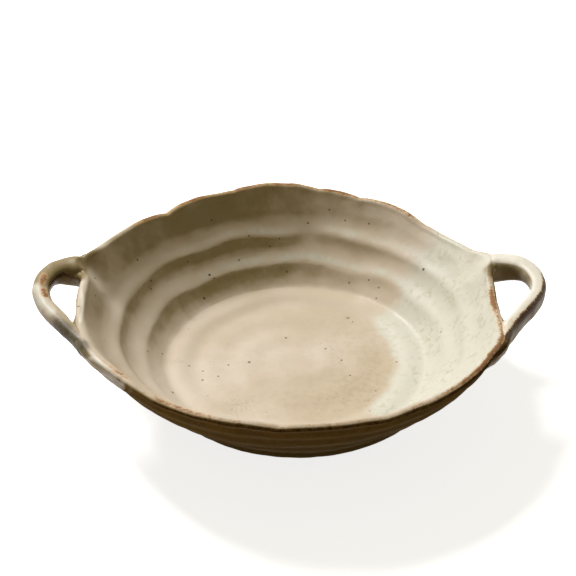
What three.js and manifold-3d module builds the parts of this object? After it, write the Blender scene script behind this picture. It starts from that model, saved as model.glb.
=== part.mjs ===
// A hand-thrown stoneware salad bowl with a loop handle at each end of its rim.
// Millimetres, +Z up. The origin is on the table, under the middle of the rim; +X runs
// from the left handle to the right one. Angles are in degrees, anticlockwise from +X.
import * as THREE from 'three';
import { mergeVertices } from 'three/addons/utils/BufferGeometryUtils.js';
import Module from 'manifold-3d';

const wasm = await Module();
wasm.setup();

// Driving dimensions of the thrown bowl
const RIM_RADIUS = 130.5;        // to the middle of the lip
const RIM_HEIGHT = 70.5;         // mean height of the lip's crest above the table
const LIP_THICKNESS = 5;
const FLOOR_RADIUS = 84;         // flat inside floor
const BASE_THICKNESS = 8.5;
const WALL_FOOT_THICKNESS = 10;  // the wall where it leaves the floor, measured level
const WALL_BOW = 0.32;           // how much the wall steepens towards the lip, 0 is straight
const LEAN = 5;                  // the floor and foot sit this far right of the rim's middle

// Foot ring, a coil luted under the base
const FOOT_HEIGHT = 6.5;
const FOOT_INSET = 10;           // from the floor's radius in to the foot's outer face
const FOOT_WIDTH = 9;
const FOOT_EDGE = 1.5;           // chamfer on the two edges at the table
const BASE_SHOULDER = 5;         // flat underside outside the foot ring

// Throwing rings in the wall and spiral ridges on the floor
const RING_PITCH = 16.5;
const RING_START = 2;            // height above the floor of the first ledge
const RING_DEPTH_INSIDE = 1.3;
const RING_DEPTH_OUTSIDE = 0.8;
const RING_FADE = [0.25, 0.2];   // shares of the wall over which the rings fade in and out
const FLOOR_SWELL = 0.5;
const FLOOR_SWELL_PITCH = 28;

// The rolled lip: a bead outside, with a groove a little way under it
const BEAD_DEPTH = 0.9;
const BEAD_SPREAD = 3;
const GROOVE_BELOW_LIP = 5.5;

// The lip tips up to the back left, with slow swells: angle, rise, half-width in degrees
const WAVE_FADE = 3;             // power at which the lip's waves die out down the wall
const RIM_TILT = 3.2;
const RIM_TILT_ANGLE = 140;
const SWELLS = [
  [166, 4, 9], [145, -0.7, 25], [96, 2.8, 16], [38, -7, 15], [17, 3.5, 7], [0, -4, 13],
  [332, 1.5, 14], [268, 1.8, 22], [213, 2.5, 16],
];

// Where the rim was drawn out or in by its handles: angle, shift, half-width in degrees
const PULLS = [[330, 2, 16], [358, -4.6, 13], [207, 1, 14], [184, -2, 13]];

// Where the outside of the wall is fuller half way up: angle, depth, half-width in degrees
const BELLIES = [[222, 2.4, 28], [325, 2.4, 25]];

// Nips where a finger pinched the soft lip: angle, drop, half-width in degrees
const NIPS = [
  [131, 3.6, 6], [108, 1.9, 4], [81, 1.3, 4], [68, 2.2, 5], [45, 1.2, 6],
  [239, 2.0, 6], [267, 2.4, 4], [293, 1.3, 5], [318, 1.0, 6],
];
const NIP_INWARD = 0.5;          // share of a nip's drop by which it also pushes the lip in

// Handles: a rounded strap bent into a loop, both ends luted to the outside of the rim
const LUTE_GAP = 0.3;            // clearance between two luted pieces
const MERGE_WITHIN = 0.001;      // points nearer than this are one point
const CORE_ABOVE = 36;           // the tool that cuts the straps ends this far above the lip

// Stations round a loop: degrees from its middle, centre past the rim's radius, top above
// the mean lip, width, height, and degrees by which the section leans towards the bowl
const HANDLES = [
  {
    name: 'left_handle',
    colour: 0xb3a88a,
    middle: 180,
    rounding: 2.3,               // power of the section's superellipse, 2 is an ellipse
    stations: [
      [-12.2, -4, 2.6, 15, 12, 8],
      [-11.7, 3, 4.4, 16, 16, 12],
      [-11.2, 8.5, 5.1, 18, 18.5, 14],
      [-10.7, 13, 5.9, 17, 17.6, 15],
      [-9.2, 18.4, 6, 15, 15.6, 14],
      [-5.6, 23.8, 5.5, 12.4, 12.4, 8],
      [-0.6, 25, 4.8, 11.2, 11.4, 4],
      [4.6, 21.8, 4.2, 10.6, 11, 4],
      [9.6, 16.3, 3.7, 10.4, 10.4, 6],
      [14.5, 10.9, 3.2, 10.2, 9.8, 8],
      [20, 6.1, 2.6, 9.6, 9.4, 8],
      [26.5, 2.7, 2, 8, 9, 6],
      [33.5, 0.6, 1, 6, 7.5, 3],
      [40, -3, -1, 3, 4, 0],
    ],
  },
  {
    name: 'right_handle',
    colour: 0xc9c2a8,
    middle: 0,
    rounding: 3,
    stations: [
      [-33, -3, -5, 3, 4, 0],
      [-26, 0.8, -3.6, 6, 8.5, 0],
      [-19, 3.3, -2.8, 8, 11.5, 0],
      [-13, 6.8, -2.2, 8.8, 12.4, 0],
      [-8, 12.5, -1.2, 8.8, 12.8, 0],
      [-3.4, 19.2, -0.2, 9, 12.8, 0],
      [1.2, 25.2, 0.6, 9.8, 12.4, 0],
      [6.6, 27, 1.2, 10.6, 12.4, 0],
      [11.6, 23.6, 1.5, 12.6, 13.6, 0],
      [14.6, 16.4, 1.3, 15.8, 16.4, -4],
      [16, 10, 0.9, 17.2, 17.6, -6],
      [16.9, 3, -0.6, 16, 15, -6],
      [17.5, -4, -2.6, 14, 12, -4],
    ],
  },
];

// Facets
const RADIAL_STEPS = 96;
const FLOOR_STEPS = 5;
const WALL_STEPS = 14;
const LIP_STEPS = 5;
const HEEL_STEPS = 4;
const STRAP_STEPS = 44;
const STRAP_SIDES = 16;

const FLOOR_Z = FOOT_HEIGHT + BASE_THICKNESS;
const LIP_RADIUS = LIP_THICKNESS / 2;
const WALL_RISE = RIM_HEIGHT - LIP_RADIUS - FLOOR_Z;
const FOOT_RADIUS = FLOOR_RADIUS - FOOT_INSET;

const radians = THREE.MathUtils.degToRad;
const mix = THREE.MathUtils.lerp;
const degreesApart = (a, b) => Math.abs((((a - b) % 360) + 540) % 360 - 180);
const bell = (x) => Math.exp(-(x ** 2));

// Sum of smooth humps, and of sharper pinches, over a list of angle, size and half-width
const humps = (list, deg) => list.reduce(
  (sum, [at, size, wide]) => sum + size * bell(degreesApart(deg, at) / wide), 0);
const pinches = (list, deg) => list.reduce(
  (sum, [at, size, wide]) => sum + size * Math.exp(-degreesApart(deg, at) / wide), 0);

// Height of the lip above its mean, and radius of the lip's middle
const rimWave = (deg) => RIM_TILT * Math.cos(radians(deg - RIM_TILT_ANGLE))
  + humps(SWELLS, deg) - pinches(NIPS, deg);
const rimRadius = (deg) => RIM_RADIUS + humps(PULLS, deg) - NIP_INWARD * pinches(NIPS, deg);

// The middle of the bowl at a height: it drifts from over the foot to under the rim
const axisX = (z) => LEAN * (1 - THREE.MathUtils.clamp(z / RIM_HEIGHT, 0, 1));

// A point on the wall at share s of the way up, as radius and height. The throwing rings
// lie level, and the lip's waves die out down the wall.
function wallPoint(deg, s, outside) {
  const rise = s * WALL_RISE;
  const z = FLOOR_Z + rise + rimWave(deg) * s ** WAVE_FADE;
  const bowed = s * (1 + WALL_BOW) - WALL_BOW * s ** 2;
  const inner = mix(FLOOR_RADIUS, rimRadius(deg) - LIP_RADIUS, bowed);
  const ring = 2 * Math.PI * (rise - RING_START) / RING_PITCH;
  const fade = Math.min(1, s / RING_FADE[0], (1 - s) / RING_FADE[1]);
  if (!outside) return [inner + RING_DEPTH_INSIDE * fade * Math.sin(ring), z];
  const below = WALL_RISE - rise;
  const bead = bell(below / BEAD_SPREAD) - bell((below - GROOVE_BELOW_LIP) / BEAD_SPREAD);
  const belly = humps(BELLIES, deg) * Math.sin(Math.PI * s);
  const thickness = mix(WALL_FOOT_THICKNESS, LIP_THICKNESS, s) + belly + BEAD_DEPTH * bead;
  return [inner + thickness - RING_DEPTH_OUTSIDE * fade * Math.cos(ring), z];
}

// The outer face from the lip down, round the heel, to the edge of the flat underside
function outerProfile(deg, clearance = 0) {
  const points = [];
  for (let i = WALL_STEPS; i >= 0; i -= 1) points.push(wallPoint(deg, i / WALL_STEPS, true));
  const [heelR, heelZ] = points[points.length - 1];
  const underR = FOOT_RADIUS + BASE_SHOULDER;
  for (let i = 1; i <= HEEL_STEPS; i += 1) {
    const turn = Math.PI / 2 * i / HEEL_STEPS;
    points.push([mix(underR, heelR, Math.cos(turn)), mix(heelZ, FOOT_HEIGHT, Math.sin(turn))]);
  }
  return points.map(([r, z]) => [r + clearance, z]);
}

// The closed section of the bowl: floor, inner wall, lip, outer wall and underside
function bowlProfile(deg) {
  const points = [[0, FLOOR_Z]];
  for (let i = 1; i < FLOOR_STEPS; i += 1) {
    const r = FLOOR_RADIUS * i / FLOOR_STEPS;
    const turn = 2 * Math.PI * r / FLOOR_SWELL_PITCH - radians(deg);
    points.push([r, FLOOR_Z + FLOOR_SWELL * Math.sin(turn)]);
  }
  for (let i = 0; i <= WALL_STEPS; i += 1) points.push(wallPoint(deg, i / WALL_STEPS, false));
  const [innerR, lipZ] = points[points.length - 1];
  const outer = outerProfile(deg);
  for (let i = 1; i < LIP_STEPS; i += 1) {
    const turn = Math.PI * i / LIP_STEPS;
    const across = (1 - Math.cos(turn)) / 2;
    points.push([mix(innerR, outer[0][0], across), lipZ + LIP_RADIUS * Math.sin(turn)]);
  }
  return [...points, ...outer, [0, FOOT_HEIGHT]];
}

// Everything inside the outer face with its luting clearance, closed well above the lip
function coreProfile(deg) {
  const outer = outerProfile(deg, LUTE_GAP * Math.SQRT2);
  const top = RIM_HEIGHT + CORE_ABOVE;
  return [[0, top], [outer[0][0], top], ...outer, [0, FOOT_HEIGHT]];
}

function geometryFrom(position, index) {
  const geometry = new THREE.BufferGeometry();
  geometry.setAttribute('position', new THREE.Float32BufferAttribute(position, 3));
  geometry.setIndex(index);
  return geometry;
}

// A closed surface through sections that start and end on the axis, one at each angle
function loft(profileAt) {
  const sections = [];
  for (let i = 0; i < RADIAL_STEPS; i += 1) sections.push(profileAt(360 * i / RADIAL_STEPS));
  const rows = sections[0].length - 2;
  const [start, end] = [sections[0][0][1], sections[0][rows + 1][1]];
  const position = [axisX(start), 0, start, axisX(end), 0, end];
  sections.forEach((section, i) => {
    const angle = 2 * Math.PI * i / RADIAL_STEPS;
    section.slice(1, -1).forEach(([r, z]) => {
      position.push(axisX(z) + r * Math.cos(angle), r * Math.sin(angle), z);
    });
  });
  const at = (i, j) => 2 + (i % RADIAL_STEPS) * rows + j;
  const index = [];
  for (let i = 0; i < RADIAL_STEPS; i += 1) {
    index.push(0, at(i, 0), at(i + 1, 0));
    for (let j = 0; j < rows - 1; j += 1) {
      index.push(at(i, j), at(i, j + 1), at(i + 1, j));
      index.push(at(i + 1, j), at(i, j + 1), at(i + 1, j + 1));
    }
    index.push(1, at(i + 1, rows - 1), at(i, rows - 1));
  }
  return geometryFrom(position, index);
}

// The strap's centreline: out from the rim, round the loop and back along the rim
function strapPath({ middle, stations }) {
  const points = stations.map(([turn, out, top, , height]) => {
    const angle = radians(middle + turn);
    const r = RIM_RADIUS + out;
    const z = RIM_HEIGHT + top - height / 2;
    return new THREE.Vector3(r * Math.cos(angle), r * Math.sin(angle), z);
  });
  return new THREE.CatmullRomCurve3(points, false, 'centripetal');
}

// The stations' values part way between two of them
function stationAt(stations, t) {
  const at = t * (stations.length - 1);
  const before = Math.min(Math.floor(at), stations.length - 2);
  const next = stations[before + 1];
  return stations[before].map((value, column) => mix(value, next[column], at - before));
}

// A rounded section carried along the path, tapering and leaning, with both ends closed
function strap(handle) {
  const path = strapPath(handle);
  const rounded = (value) => Math.sign(value) * Math.abs(value) ** (2 / handle.rounding);
  const position = [];
  for (let i = 0; i <= STRAP_STEPS; i += 1) {
    const t = path.getUtoTmapping(i / STRAP_STEPS, null);
    const middle = path.getPoint(t);
    const along = path.getTangent(t);
    const level = new THREE.Vector3(along.y, -along.x, 0).normalize();
    const steep = new THREE.Vector3().crossVectors(level, along);
    const [, , , width, height, lean] = stationAt(handle.stations, t);
    const [cos, sin] = [Math.cos(radians(lean)), Math.sin(radians(lean))];
    const side = level.clone().multiplyScalar(cos).addScaledVector(steep, sin);
    const up = steep.clone().multiplyScalar(cos).addScaledVector(level, -sin);
    for (let j = 0; j < STRAP_SIDES; j += 1) {
      const turn = 2 * Math.PI * j / STRAP_SIDES;
      const point = middle.clone()
        .addScaledVector(side, width / 2 * rounded(Math.cos(turn)))
        .addScaledVector(up, height / 2 * rounded(Math.sin(turn)));
      position.push(...point.toArray());
    }
  }
  position.push(...path.getPointAt(0).toArray(), ...path.getPointAt(1).toArray());
  const at = (i, j) => i * STRAP_SIDES + (j % STRAP_SIDES);
  const start = at(STRAP_STEPS + 1, 0);
  const index = [];
  for (let j = 0; j < STRAP_SIDES; j += 1) {
    for (let i = 0; i < STRAP_STEPS; i += 1) {
      index.push(at(i, j), at(i + 1, j), at(i, j + 1));
      index.push(at(i + 1, j), at(i + 1, j + 1), at(i, j + 1));
    }
    index.push(start, at(0, j), at(0, j + 1));
    index.push(start + 1, at(STRAP_STEPS, j + 1), at(STRAP_STEPS, j));
  }
  return geometryFrom(position, index);
}

// The foot ring's section, closed on itself and turned about its own axis
function footRing() {
  const inner = FOOT_RADIUS - FOOT_WIDTH;
  const top = FOOT_HEIGHT - LUTE_GAP;
  const section = [
    [inner, top], [inner, FOOT_EDGE], [inner + FOOT_EDGE, 0], [FOOT_RADIUS - FOOT_EDGE, 0],
    [FOOT_RADIUS, FOOT_EDGE], [FOOT_RADIUS, top], [inner, top],
  ].map(([r, z]) => new THREE.Vector2(r, z));
  return new THREE.LatheGeometry(section, RADIAL_STEPS).rotateX(Math.PI / 2);
}

// Geometry with its shared points merged, and one such piece cut away by another
function merged(geometry) {
  geometry.deleteAttribute('normal');
  geometry.deleteAttribute('uv');
  return mergeVertices(geometry, MERGE_WITHIN);
}

function solidOf(geometry) {
  const { attributes, index } = merged(geometry);
  return new wasm.Manifold(new wasm.Mesh({
    numProp: 3,
    vertProperties: new Float32Array(attributes.position.array),
    triVerts: new Uint32Array(index.array),
  }));
}

function cutBy(geometry, tool) {
  const { vertProperties, triVerts } = solidOf(geometry).subtract(solidOf(tool)).getMesh();
  return geometryFrom(Array.from(vertProperties), Array.from(triVerts));
}

function piece(name, geometry, color, roughness) {
  geometry.computeVertexNormals();
  const material = new THREE.MeshStandardMaterial({ color, roughness, metalness: 0 });
  const mesh = new THREE.Mesh(geometry, material);
  mesh.name = name;
  return mesh;
}

const bowl = new THREE.Group();
bowl.add(piece('bowl_body', loft(bowlProfile), 0xb9ac8c, 0.45));

const core = loft(coreProfile);
HANDLES.forEach((handle) => {
  bowl.add(piece(handle.name, cutBy(strap(handle), core), handle.colour, 0.45));
});

const foot = piece('foot_ring', merged(footRing()), 0x9c6b45, 0.85);
foot.position.x = axisX(FOOT_HEIGHT);
bowl.add(foot);

export default bowl;
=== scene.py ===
# A hand-thrown stoneware salad bowl with a loop handle at each end, on a pale floor.
# Lengths are in millimetres and angles in degrees, anticlockwise from +X, until a mesh is made.
import bpy
import numpy as np
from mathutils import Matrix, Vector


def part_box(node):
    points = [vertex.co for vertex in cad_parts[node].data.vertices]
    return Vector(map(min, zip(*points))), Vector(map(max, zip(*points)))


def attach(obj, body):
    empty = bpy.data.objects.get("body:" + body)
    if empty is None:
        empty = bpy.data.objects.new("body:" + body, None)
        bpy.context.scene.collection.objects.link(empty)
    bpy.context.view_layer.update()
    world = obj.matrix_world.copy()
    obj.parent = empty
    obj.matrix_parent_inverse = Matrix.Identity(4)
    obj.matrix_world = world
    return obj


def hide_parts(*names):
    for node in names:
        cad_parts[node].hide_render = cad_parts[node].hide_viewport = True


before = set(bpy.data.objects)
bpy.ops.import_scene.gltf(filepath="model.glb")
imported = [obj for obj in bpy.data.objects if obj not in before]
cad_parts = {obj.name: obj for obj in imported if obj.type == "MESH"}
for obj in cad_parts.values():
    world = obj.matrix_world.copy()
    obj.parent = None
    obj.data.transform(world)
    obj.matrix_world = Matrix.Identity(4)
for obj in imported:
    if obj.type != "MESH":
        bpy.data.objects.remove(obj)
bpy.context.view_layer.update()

# Bowl body: one shell of thrown stoneware, its floor, wall and rolled lip in a single clay.
# Fingers left ridges and ledges inside, softer grooves outside, and pinched the soft lip.
# It is glazed all over, thin and rusty on the lip, thick and pale where the glaze pooled;
# its colour also carries painted highlights and painted shade.
MM = 0.001
RIM_RADIUS = 130.5
RIM_HEIGHT = 70.5
LIP_THICKNESS = 5
LIP_FULLNESS = 0.9       # power of the rolled crest's sine, 1 is an ellipse
FLOOR_RADIUS = 84
BASE_THICKNESS = 8.5
WALL_FOOT_THICKNESS = 10
WALL_BOW = 0.32
BASE_SHOULDER = 5
WAVE_FADE = 3            # power by which the lip's wave fades down the wall
RIM_TILT = 3.2
RIM_TILT_ANGLE = 140
RIM_RIPPLE = 0.22
RIM_SWAY = 0.15
foot_low, foot_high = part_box("foot_ring")
FOOT_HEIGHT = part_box("bowl_body")[0].z / MM
FOOT_RADIUS = (foot_high.y - foot_low.y) / 2 / MM
FOOT_X = (foot_high.x + foot_low.x) / 2 / MM
LEAN = FOOT_X / (1 - FOOT_HEIGHT / RIM_HEIGHT)
FLOOR_Z = FOOT_HEIGHT + BASE_THICKNESS
LIP_RADIUS = LIP_THICKNESS / 2
WALL_RISE = RIM_HEIGHT - LIP_RADIUS - FLOOR_Z

# Angle, size and half-width of the lip's swells, its pulls in and out, and its finger nips
SWELLS = [
    [166, 4, 9], [172, -2.4, 3.6], [145, -0.7, 25], [96, 2.8, 16], [38, -7, 15],
    [17, 3.5, 7], [14.5, 1, 4], [0, -4, 13],
    [332, 1.5, 14], [268, 1.8, 22], [213, 2.5, 16],
]
PULLS = [[330, 2, 16], [358, -4.6, 13], [207, 1, 14], [184, -2, 13]]
BELLIES = [[222, 2.4, 28], [325, 2.4, 25]]
NIPS = [
    [131, 3.6, 6], [108, 1.9, 4], [81, 1.3, 4], [68, 2.2, 5], [45, 1.2, 6],
    [239, 2.0, 6], [267, 2.4, 4], [293, 1.3, 5], [318, 1.0, 6],
]
NIP_INWARD = 0.5
# Angle, size and half-width of the lip's spouts, where a loop leaves it, of its thick places,
# where a loop's arm runs into it, and of the share by which a wet finger wiped it smooth
SPOUTS = [[168.6, 8, 3.9], [17.6, 8, 4.1]]
THICKENED = [[207, 3.8, 10], [340, 3.2, 6.5]]
WIPED = [[168.6, 1, 4.8], [17.6, 1, 5], [206, 0.5, 10], [342, 0.5, 7]]
WIPED_ROWS = 16
WIPED_FADE = 6
WIPED_PASSES = 40
SPOUT_INSIDE = 0.75      # share of a spout on the inner face, and how far down it reaches
SPOUT_INSIDE_DEPTH = 15
SPOUT_OUTSIDE_DEPTH = 12
SPOUT_FADE = 8

# Finger ridges inside: height above the floor, depth, and where each is weaker
RIDGES = [
    [13.4, 3.3, [[195, 0.25, 25]]],
    [30, 3.6, [[84, 0.7, 6], [150, 0.25, 28], [15, 0.4, 22]]],
    [45.5, 0.5, []],
]
RIDGE_ABOVE = 3.7        # the ledge over a ridge is short, and the steep face under it long
RIDGE_BELOW = 5.6
RIDGE_POWER = 1.5
RIDGE_WANDER = 0.8
STEP_INNER = 64          # the floor's disc ends in a low step up to the first ledge
STEP_OUTER = 75
STEP_RISE = 2.6
SPIRAL_PITCH = 24        # the spiral that the fingers left on the floor
SPIRAL_START = 20
SPIRAL_DEPTH = 0.32
STEP_WANDER = 1.5
GROOVES = [2, 18.5, 35, 51.5]
GROOVE_DEPTH = 1.3
GROOVE_SPREAD = 4.2
GROOVE_WANDER = 0.5
GROOVE_FADES = [0.25, 0.2]       # shares of the wall, at its foot and lip, where they fade
INNER_SETTLE = 0.8       # what the ridges and grooves took, given back to the wall between them
OUTER_SETTLE = 0.45
BEAD_DEPTH = 0.9
BEAD_SPREAD = 3
GROOVE_BELOW_LIP = 5.5

COLUMNS = 640
FLOOR_ROWS = 40
WALL_ROWS = 46
LIP_ROWS = 11
HEEL_ROWS = 7
BASE_ROWS = 6


def apart(a, b):
    """Degrees between two angles, the short way round."""
    return np.abs((a - b + 540) % 360 - 180)


def bell(x):
    """The bell curve exp(-x squared)."""
    return np.exp(-np.square(x))


def smooth(x):
    """The smooth step from 0 to 1, three x squared less two x cubed, clamped."""
    x = np.clip(x, 0, 1)
    return x * x * (3 - 2 * x)


def humps(places, angle):
    """Sum of size times a bell of the degrees from each place over its half-width."""
    return sum(size * bell(apart(angle, at) / wide) for at, size, wide in places)


def pinches(places, angle):
    """Sum of size times exp(-degrees from each place over its half-width)."""
    return sum(size * np.exp(-apart(angle, at) / wide) for at, size, wide in places)


def ripple(angle, lowest, highest, seed):
    """Sum of sines of whole orders of the angle, each with its own phase, about 1 at most."""
    phases = np.random.default_rng(seed).uniform(0, 2 * np.pi, highest - lowest + 1)
    orders = np.arange(lowest, highest + 1)
    waves = np.sin(np.radians(angle)[..., None] * orders + phases)
    return waves.sum(-1) / np.sqrt(len(orders))


# The camera stands where the photograph's did, so that marks can be placed where they show
PHOTO_SIZE = 576
CAMERA_PLACE = (-1.4, -627.0, 479.0)
CAMERA_PITCH = 33.04
CAMERA_LENS = 75
CAMERA_SENSOR = 36


def seen_at(points):
    """Where points show in the photograph, in its pixels: their ways aside and up from the
    camera over their way ahead, times the lens over the sensor."""
    pitch = np.radians(CAMERA_PITCH)
    away = points - CAMERA_PLACE
    ahead = away @ np.array([0, np.cos(pitch), -np.sin(pitch)])
    above = away @ np.array([0, np.sin(pitch), np.cos(pitch)])
    scale = PHOTO_SIZE * CAMERA_LENS / CAMERA_SENSOR / ahead
    return PHOTO_SIZE / 2 + away[..., 0] * scale, PHOTO_SIZE / 2 - above * scale


def blots(places, spot):
    """Sum of strength times a bell of the pixels from each place over its size."""
    return sum(strength * bell(np.hypot(spot[0] - x, spot[1] - y) / size)
               for x, y, size, strength in places)


def stroke(places, spot, wide):
    """A bell of the pixels to the nearest point of the line through the places."""
    nearest = np.inf
    for (ax, ay), (bx, by) in zip(places, places[1:]):
        dx, dy = bx - ax, by - ay
        share = ((spot[0] - ax) * dx + (spot[1] - ay) * dy) / (dx * dx + dy * dy)
        share = np.clip(share, 0, 1)
        away = np.hypot(spot[0] - ax - share * dx, spot[1] - ay - share * dy)
        nearest = np.minimum(nearest, away)
    return bell(nearest / wide)


def facing_camera(points, facing):
    """1 where a surface faces the camera, fading to 0 where it turns away."""
    away = np.array(CAMERA_PLACE) - points
    away /= np.linalg.norm(away, axis=-1, keepdims=True)
    return smooth((facing * away).sum(-1) * 5 + 0.5)


def lumps(points, wavelength, seed, count=28):
    """Sum of plane sine waves in random directions, all of one wavelength, about 1 at most."""
    rng = np.random.default_rng(seed)
    along = rng.normal(size=(3, count))
    along *= 2 * np.pi / wavelength / np.linalg.norm(along, axis=0)
    return np.sin(points @ along + rng.uniform(0, 2 * np.pi, count)).sum(-1) / np.sqrt(count)


def rim_wave(angle):
    """Height of the lip over its mean: a tilt, swells and nips, and a slight ripple."""
    tilt = RIM_TILT * np.cos(np.radians(angle - RIM_TILT_ANGLE))
    wave = tilt + humps(SWELLS, angle) - pinches(NIPS, angle)
    return wave + RIM_RIPPLE * ripple(angle, 14, 40, 3)


def rim_radius(angle):
    """Radius to the middle of the lip: the mean, pulled by the handles and pushed by nips."""
    pushed = NIP_INWARD * pinches(NIPS, angle)
    return RIM_RADIUS + humps(PULLS, angle) - pushed + RIM_SWAY * ripple(angle, 12, 30, 4)


def axis_x(z):
    """The bowl's middle drifts from over its foot to under the rim."""
    return LEAN * (1 - np.clip(z / RIM_HEIGHT, 0, 1))


def wall_height(angle, share):
    """Height at a share of the way up: the step, the rise, and the lip's wave by its power."""
    rise = STEP_RISE + share * (WALL_RISE - STEP_RISE)
    return FLOOR_Z + rise + rim_wave(angle) * share ** WAVE_FADE


def cone(angle, share):
    """Radius of the bare inner face: a cone from floor to lip, bowed by a parabola."""
    bowed = share * (1 + WALL_BOW) - WALL_BOW * share ** 2
    return FLOOR_RADIUS + (rim_radius(angle) - LIP_RADIUS - FLOOR_RADIUS) * bowed


def ridge_shape(angle, share):
    """Depth of the finger ridges: each falls as exp(-distance over spread to a power), faster
    above than below, so that it has a crisp edge, and wanders up and down round the bowl."""
    rise = share * WALL_RISE
    total = 0
    for i, (at, depth, fades) in enumerate(RIDGES):
        beyond = rise - at - RIDGE_WANDER * ripple(angle, 3, 13, 20 + i)
        spread = np.where(beyond > 0, RIDGE_ABOVE, RIDGE_BELOW)
        weaker = 1 - np.clip(humps(fades, angle), 0, 1)
        total = total + depth * weaker * np.exp(-np.abs(beyond / spread) ** RIDGE_POWER)
    return total


def inner_wall(angle, share):
    """The cone less its finger ridges, so that a ridge stands inwards, plus the spouts."""
    settle = INNER_SETTLE * smooth(share * 4) * smooth((1 - share) * 4)
    spout = SPOUT_INSIDE * smooth(1 - (1 - share) * WALL_RISE / SPOUT_INSIDE_DEPTH)
    return (cone(angle, share) + settle - ridge_shape(angle, share)
            + humps(SPOUTS, angle) * spout), wall_height(angle, share)


def outer_wall(angle, share):
    """The cone plus a thickness that tapers, a belly, a bead under the lip and the spouts,
    less grooves."""
    rise = share * WALL_RISE
    below = WALL_RISE - rise
    bead = bell(below / BEAD_SPREAD) - bell((below - GROOVE_BELOW_LIP) / BEAD_SPREAD)
    belly = humps(BELLIES, angle) * np.sin(np.pi * share)
    thickness = WALL_FOOT_THICKNESS + (LIP_THICKNESS - WALL_FOOT_THICKNESS) * share
    wander = GROOVE_WANDER * ripple(angle, 2, 9, 31)
    ends = np.minimum(share / GROOVE_FADES[0], (1 - share) / GROOVE_FADES[1])
    cuts = sum(bell((rise - at - wander) / GROOVE_SPREAD) for at in GROOVES)
    spout = 1 - smooth((below - SPOUT_OUTSIDE_DEPTH) / SPOUT_FADE)
    radius = (cone(angle, share) + thickness + belly + BEAD_DEPTH * bead
              + humps(SPOUTS + THICKENED, angle) * spout
              + np.minimum(1, ends) * (OUTER_SETTLE - GROOVE_DEPTH * cuts))
    return radius, wall_height(angle, share)


def floor_face(angle, radius):
    """Height of the floor: a spiral groove, and the low step up to the first ledge."""
    turn = (radius - SPIRAL_START) / SPIRAL_PITCH - (angle - 180) / 360
    inner = smooth(radius / SPIRAL_START)
    outer = 1 - smooth((radius - STEP_INNER + 8) / 12)
    spiral = -SPIRAL_DEPTH * np.cos(2 * np.pi * turn) * inner * outer
    edge = STEP_WANDER * ripple(angle, 2, 7, 41)
    step = STEP_RISE * smooth((radius - STEP_INNER - edge) / (STEP_OUTER - STEP_INNER))
    return FLOOR_Z + spiral + step


def profile(angle):
    """Radius and height from the floor's middle over the lip to the underside's middle."""
    out = np.linspace(0, 1, FLOOR_ROWS + 1)[1:-1, None]
    radius = FLOOR_RADIUS * out + 0 * angle
    floor = [radius, floor_face(angle, radius)]
    up = np.linspace(0, 1, WALL_ROWS + 1)[:, None]
    inside, outside = inner_wall(angle, up), outer_wall(angle, up[::-1])
    over = np.pi * np.linspace(0, 1, LIP_ROWS + 2)[1:-1, None]
    across = (1 - np.cos(over)) / 2
    crest = LIP_RADIUS * np.sin(over) ** LIP_FULLNESS
    lip = [inside[0][-1] + (outside[0][0] - inside[0][-1]) * across, inside[1][-1] + crest]
    turn = np.pi / 2 * np.linspace(0, 1, HEEL_ROWS + 1)[1:, None]
    under = FOOT_RADIUS + BASE_SHOULDER
    heel = [under + (outside[0][-1] - under) * np.cos(turn),
            outside[1][-1] + (FOOT_HEIGHT - outside[1][-1]) * np.sin(turn)]
    back = np.linspace(1, 0, BASE_ROWS + 1)[1:-1, None]
    base = [under * back + 0 * angle, FOOT_HEIGHT + 0 * back + 0 * angle]
    parts = [floor, inside, lip, outside, heel, base]
    return [np.concatenate([part[k] for part in parts]) for k in (0, 1)]


def soften(rows, passes, share):
    """Each row moves by a share towards half itself and a quarter of each neighbour, as clay
    does under a wet finger."""
    for _ in range(passes):
        rows[1:-1] += share * ((rows[:-2] + rows[2:]) / 4 - rows[1:-1] / 2)
    return rows


def normals(grid):
    """Unit normals of a grid whose columns close on themselves: row step cross column step."""
    down = np.gradient(grid, axis=0)
    across = np.roll(grid, -1, 1) - np.roll(grid, 1, 1)
    normal = np.cross(down, across)
    return normal / np.maximum(np.linalg.norm(normal, axis=-1, keepdims=True), 1e-9)


def in_scene(name, data):
    """An object of a mesh, lamp or camera, at the origin of the scene."""
    made = bpy.data.objects.new(name, data)
    bpy.context.scene.collection.objects.link(made)
    return made


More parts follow.
